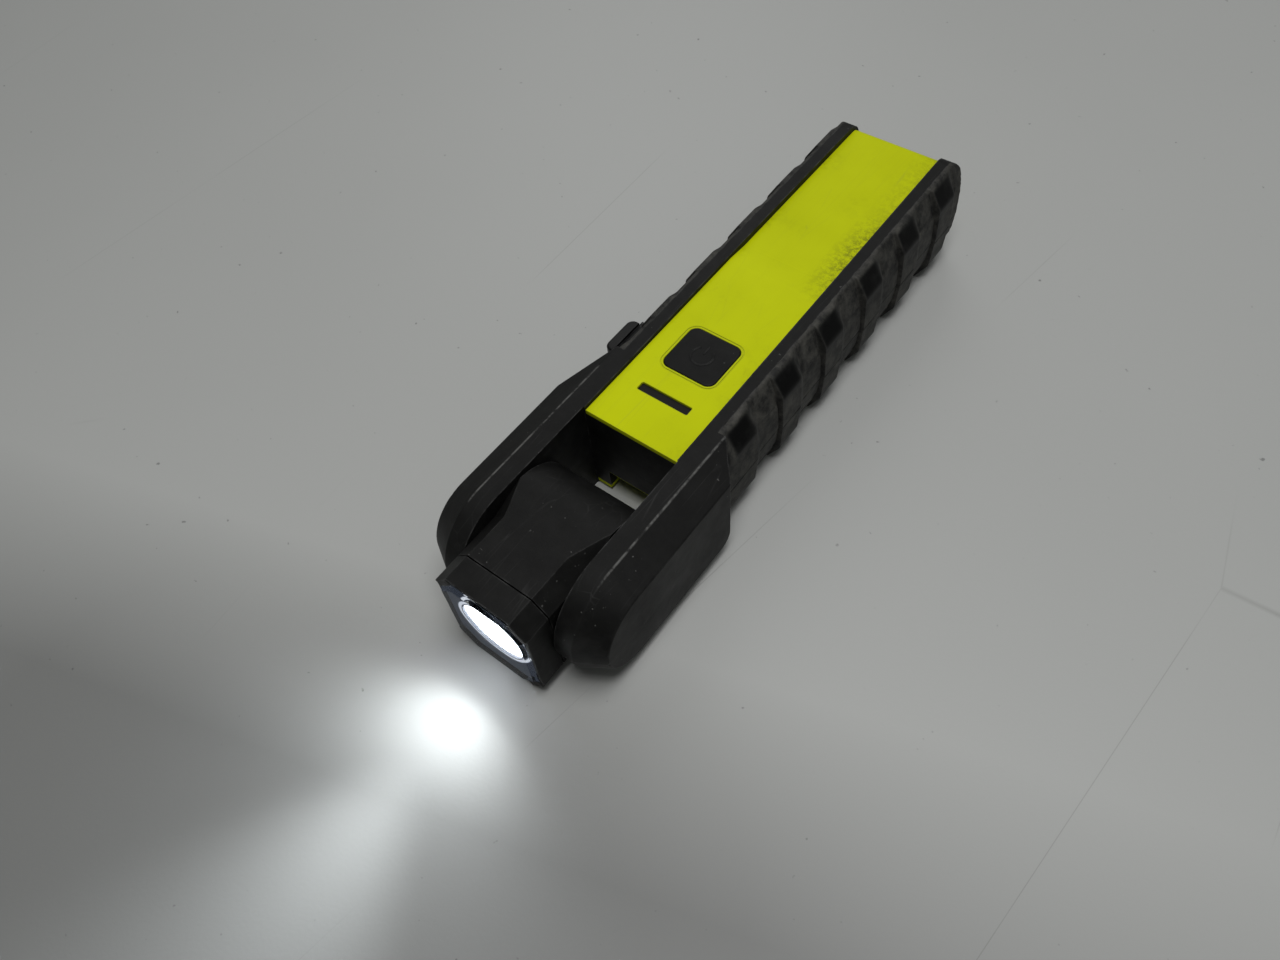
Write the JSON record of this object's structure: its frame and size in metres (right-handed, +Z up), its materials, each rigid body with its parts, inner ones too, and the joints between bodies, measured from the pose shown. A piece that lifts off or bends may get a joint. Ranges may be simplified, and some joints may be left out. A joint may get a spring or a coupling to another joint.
{
  "type": "tilting-head work light",
  "caption": "Hand-held rechargeable work light: black rubber-sided handle with yellow covers, a forked end and a square tilting lamp head with a clear front lens.",
  "frame": {"origin": "on the table under the middle of the closed light, lying on its back", "axes": "+Y from the lamp head towards the handle's rear end, +X towards the side without the charging port, +Z up through the button"},
  "size_m": [0.0652, 0.229, 0.0402],
  "materials": {
    "black_plastic": "moulded, fine grain, lightly scuffed",
    "black_rubber": "soft touch",
    "yellow_plastic": "satin yellow-green, lightly scratched",
    "inner_plastic": "plain",
    "smoked_plastic": "smoked, nearly opaque",
    "lamp_white": "plain",
    "board_green": "solder mask",
    "component_grey": "plain",
    "cell_wrap": "shrink wrap",
    "nickel": "plated",
    "lead_red": "plain",
    "lead_black": "plain",
    "screw_steel": "plated",
    "clear_lens": "polished",
    "grey_rubber": "plain",
    "polished_reflector": "mirror-like",
    "aluminium": "machined",
    "emitter_yellow": "phosphor"
  },
  "bodies": {
    "handle": {"upper_housing": "black_plastic", "lower_housing": "black_plastic", "left_grip_upper": "black_rubber", "left_grip_lower": "black_rubber", "right_grip_upper": "black_rubber", "right_grip_lower": "black_rubber", "top_cover": "yellow_plastic", "bottom_cover": "yellow_plastic", "switch_body": "inner_plastic", "gauge_window": "smoked_plastic", "gauge_lamps": "lamp_white", "main_board": "board_green", "board_posts": "inner_plastic", "board_parts": "component_grey", "left_cell": "cell_wrap", "right_cell": "cell_wrap", "cell_straps": "nickel", "battery_cradle": "inner_plastic", "battery_leads": "lead_red", "charging_socket": "nickel", "arm_screws": "screw_steel", "body_screws": "screw_steel", "handle_lead": "lead_black", "right_friction_washer": "nickel", "left_friction_washer": "nickel", "right_retaining_clip": "screw_steel", "left_retaining_clip": "screw_steel"},
    "head": {"head_shell": "black_plastic", "bezel": "black_plastic", "bezel_screws": "screw_steel", "lens": "clear_lens", "lens_seal": "grey_rubber", "reflector": "polished_reflector", "led_board": "aluminium", "led_emitter": "emitter_yellow", "heat_sink": "aluminium", "head_lead": "lead_black", "right_pivot_bush": "screw_steel", "left_pivot_bush": "screw_steel"},
    "power_button": {"power_button": "black_rubber"},
    "switch_plunger": {"switch_plunger": "inner_plastic"},
    "port_cover": {"port_cover": "black_rubber"}
  },
  "joints": [
    {"name": "head_tilt", "type": "hinge", "parent": "handle", "child": "head", "pos_m": [0, -0.0791, 0.0201], "axis": [1, 0, 0], "range_deg": [-110, 110]},
    {"name": "button_press", "type": "slide", "parent": "handle", "child": "power_button", "axis": [0, 0, -1], "range_m": [0, 0.0008], "stiffness_N_per_m": 1500, "springref_m": -0.0003},
    {"name": "switch_press", "type": "slide", "parent": "handle", "child": "switch_plunger", "axis": [0, 0, -1], "range_m": [0, 0.0008]},
    {"name": "port_cover_swing", "type": "hinge", "parent": "handle", "child": "port_cover", "pos_m": [-0.0267, -0.0135, 0.0233], "axis": [0, -1, 0], "range_deg": [0, 100], "stiffness_Nm_per_rad": 0.004}
  ],
  "couplings": [
    {"joint": "switch_press", "follows": "button_press", "ratio": 1}
  ]
}
